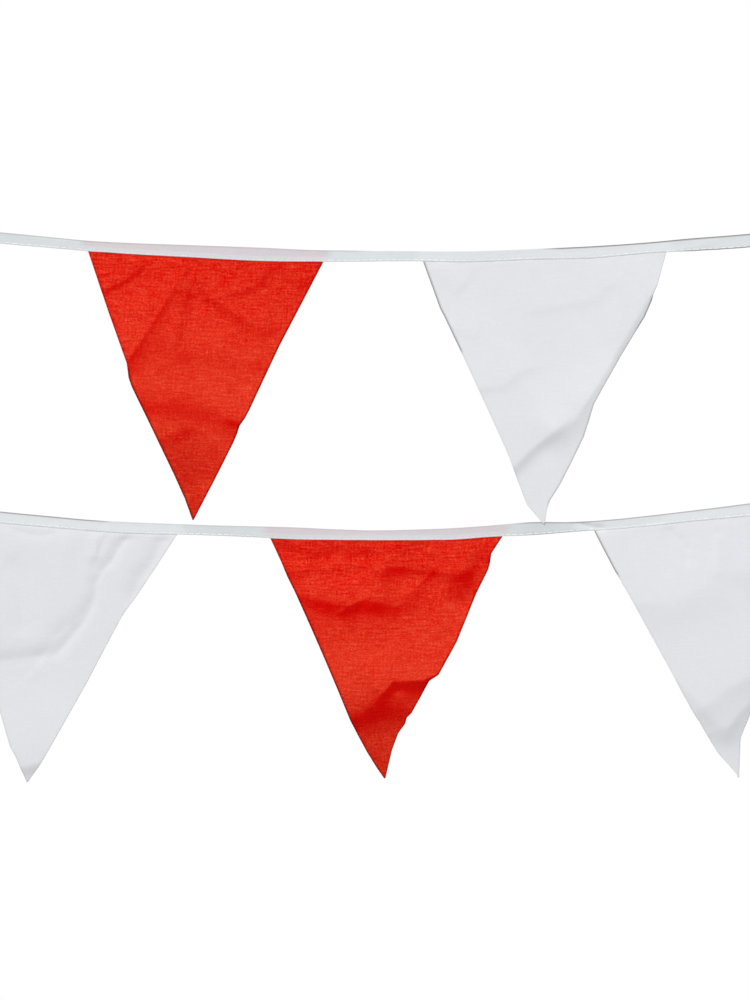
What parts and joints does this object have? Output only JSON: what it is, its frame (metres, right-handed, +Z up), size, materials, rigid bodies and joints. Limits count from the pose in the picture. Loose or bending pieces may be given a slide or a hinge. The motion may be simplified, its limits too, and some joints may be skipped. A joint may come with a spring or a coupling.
{
  "type": "fabric bunting",
  "caption": "String of triangular cloth pennants in red and white, sewn into a folded white tape and hung in rows.",
  "frame": {"origin": "where the tape turns down from the upper row at its top left hanging point, in the middle of the tape", "axes": "+Z up, +X to the right along the rows, +Y away from the viewer, towards a wall behind"},
  "size_m": [1.0573, 0.0223, 0.5542],
  "materials": {
    "tape_cotton": "matte plain weave",
    "white_cotton": "matte plain weave",
    "red_cotton": "matte slubbed plain weave"
  },
  "bodies": {
    "root": {"tape": "tape_cotton", "pennant_upper_red": "red_cotton", "pennant_upper_white": "white_cotton", "pennant_lower_left_white": "white_cotton", "pennant_lower_red": "red_cotton", "pennant_lower_right_white": "white_cotton"}
  },
  "joints": []
}
